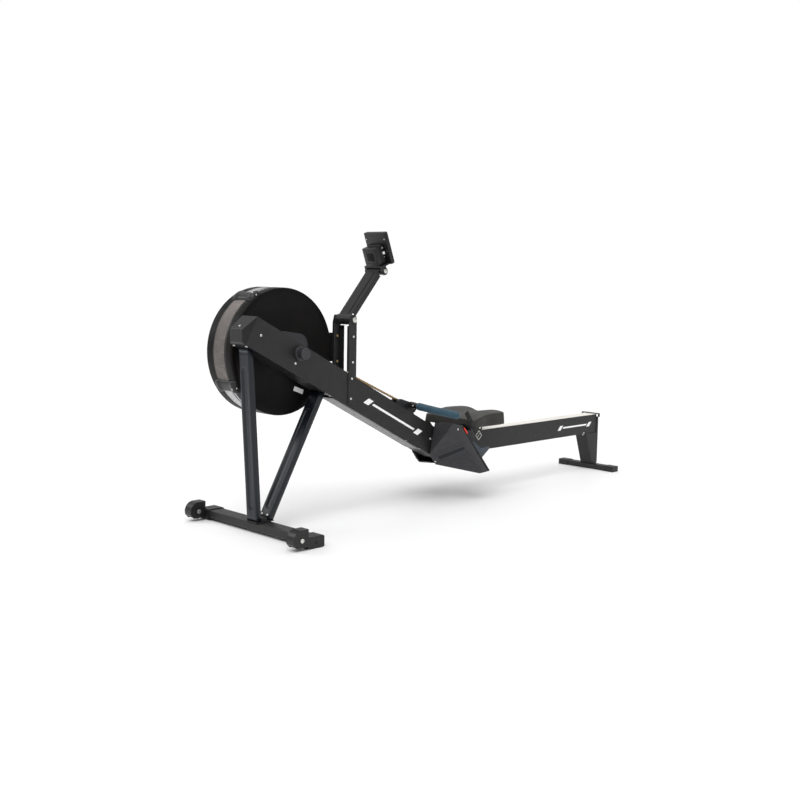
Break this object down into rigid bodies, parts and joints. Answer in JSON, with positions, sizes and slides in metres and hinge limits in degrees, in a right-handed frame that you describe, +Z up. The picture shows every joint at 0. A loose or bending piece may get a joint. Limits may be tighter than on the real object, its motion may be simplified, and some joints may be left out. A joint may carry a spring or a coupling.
{
  "type": "rowing machine",
  "caption": "Indoor air rowing machine: caged flywheel on a sloping beam, chain and handle, sliding seat on a level rail, monitor on a folding arm.",
  "frame": {"origin": "on the floor under the middle of the machine's bounding box", "axes": "+X runs from the flywheel to the rear foot, +Z is up, Y is across, and -Y is the side without the flywheel"},
  "size_m": [2.232, 0.6646, 1.1263],
  "materials": {
    "powder_black": "satin powder coat with a fine orange peel",
    "leg_black": "smooth satin powder coat, slightly blue",
    "cover_black": "fine moulded grain, satin",
    "black_plastic": "moulded, satin",
    "footrest_grey": "moulded, satin",
    "mesh_steel": "perforated sheet",
    "band_grey": "light grey painted sheet",
    "satin_alloy": "satin",
    "bright_steel": "zinc plated",
    "track_steel": "brushed lengthways",
    "chain_gold": "plated roller chain",
    "grip_teal": "soft grip with a fine texture",
    "heel_teal": "flexible moulding, satin",
    "strap_webbing": "woven webbing",
    "seat_foam": "moulded foam skin, matt",
    "wheel_rubber": "satin",
    "foot_rubber": "satin"
  },
  "bodies": {
    "frame": {"front_foot_bar": "powder_black", "front_end_cap_near": "foot_rubber", "front_end_cap_far": "foot_rubber", "wheel_fender_near": "black_plastic", "wheel_fender_far": "black_plastic", "wheel_axle_near": "bright_steel", "wheel_axle_far": "bright_steel", "front_leg": "leg_black", "brace_leg": "leg_black", "leg_bracket": "powder_black", "main_beam": "powder_black", "beam_tray": "powder_black", "beam_front_cap": "black_plastic", "housing_near_cover": "cover_black", "housing_far_cover": "cover_black", "air_mesh": "mesh_steel", "housing_band": "band_grey", "clamp_upper": "black_plastic", "clamp_lower": "black_plastic", "hub_cap": "black_plastic", "return_idler": "black_plastic", "chain": "chain_gold", "handle_hook": "black_plastic", "upright_near": "powder_black", "upright_far": "powder_black", "housing_bracket": "black_plastic", "arm_pin": "bright_steel", "footrest_guard_near": "footrest_grey", "footrest_guard_far": "footrest_grey", "footboard_near": "black_plastic", "footboard_far": "black_plastic", "foot_strap_near": "strap_webbing", "foot_strap_far": "strap_webbing", "rail_track": "track_steel", "rail": "powder_black", "rear_leg": "powder_black", "rear_foot_bar": "powder_black", "rear_foot_cap_near": "foot_rubber", "rear_foot_cap_far": "foot_rubber", "seat_stop": "powder_black"},
    "wheel_near": {"transport_wheel_near": "wheel_rubber"},
    "wheel_far": {"transport_wheel_far": "wheel_rubber"},
    "rotor": {"flywheel": "satin_alloy", "flywheel_axle": "bright_steel", "chain_sprocket": "bright_steel"},
    "damper": {"damper_lever": "black_plastic"},
    "arm": {"monitor_arm": "powder_black", "monitor_pin": "bright_steel"},
    "monitor": {"monitor_bracket": "black_plastic", "monitor_box": "black_plastic", "monitor_case": "black_plastic"},
    "handle": {"handle_bar": "black_plastic", "grip_near": "grip_teal", "grip_far": "grip_teal"},
    "heel_near": {"heel_cup_near": "heel_teal"},
    "heel_far": {"heel_cup_far": "heel_teal"},
    "seat": {"seat_pad": "seat_foam", "seat_carriage": "black_plastic"},
    "roller_front": {"seat_roller_front": "wheel_rubber"},
    "roller_rear": {"seat_roller_rear": "wheel_rubber"}
  },
  "joints": [
    {"name": "wheel_near_spin", "type": "hinge", "parent": "frame", "child": "wheel_near", "pos_m": [-1.079, -0.3075, 0.038], "axis": [0, 1, 0], "continuous": true},
    {"name": "wheel_far_spin", "type": "hinge", "parent": "frame", "child": "wheel_far", "pos_m": [-1.079, 0.3075, 0.038], "axis": [0, 1, 0], "continuous": true},
    {"name": "flywheel_spin", "type": "hinge", "parent": "frame", "child": "rotor", "pos_m": [-0.858, 0.1275, 0.66019], "axis": [0, 1, 0], "continuous": true},
    {"name": "damper_turn", "type": "hinge", "parent": "frame", "child": "damper", "pos_m": [-0.858, 0.2065, 0.66019], "axis": [0, 1, 0], "range_deg": [0, 22]},
    {"name": "monitor_arm_swing", "type": "hinge", "parent": "frame", "child": "arm", "pos_m": [-0.587, 0, 0.78], "axis": [0, 1, 0], "range_deg": [-40, 60]},
    {"name": "monitor_tilt", "type": "hinge", "parent": "arm", "child": "monitor", "pos_m": [-0.42595, 0, 0.9699], "axis": [0, 1, 0], "range_deg": [-20, 30]},
    {"name": "handle_pull", "type": "slide", "parent": "frame", "child": "handle", "axis": [0.9659, 0, 0.2588], "range_m": [0, 1.1], "stiffness_N_per_m": 15, "springref_m": -0.6},
    {"name": "heel_near_slide", "type": "slide", "parent": "frame", "child": "heel_near", "axis": [0.6547, 0, -0.7559], "range_m": [-0.01, 0.045]},
    {"name": "heel_far_slide", "type": "slide", "parent": "frame", "child": "heel_far", "axis": [0.6547, 0, -0.7559], "range_m": [-0.01, 0.045]},
    {"name": "seat_slide", "type": "slide", "parent": "frame", "child": "seat", "axis": [1, 0, 0], "range_m": [0, 0.88]},
    {"name": "roller_front_spin", "type": "hinge", "parent": "seat", "child": "roller_front", "pos_m": [0.078, 0, 0.2909], "axis": [0, 1, 0], "range_deg": [-10, 3900]},
    {"name": "roller_rear_spin", "type": "hinge", "parent": "seat", "child": "roller_rear", "pos_m": [0.182, 0, 0.2909], "axis": [0, 1, 0], "range_deg": [-10, 3900]}
  ],
  "couplings": [
    {"joint": "roller_front_spin", "follows": "seat_slide", "rad_per_m": 76.923},
    {"joint": "roller_rear_spin", "follows": "seat_slide", "rad_per_m": 76.923}
  ]
}
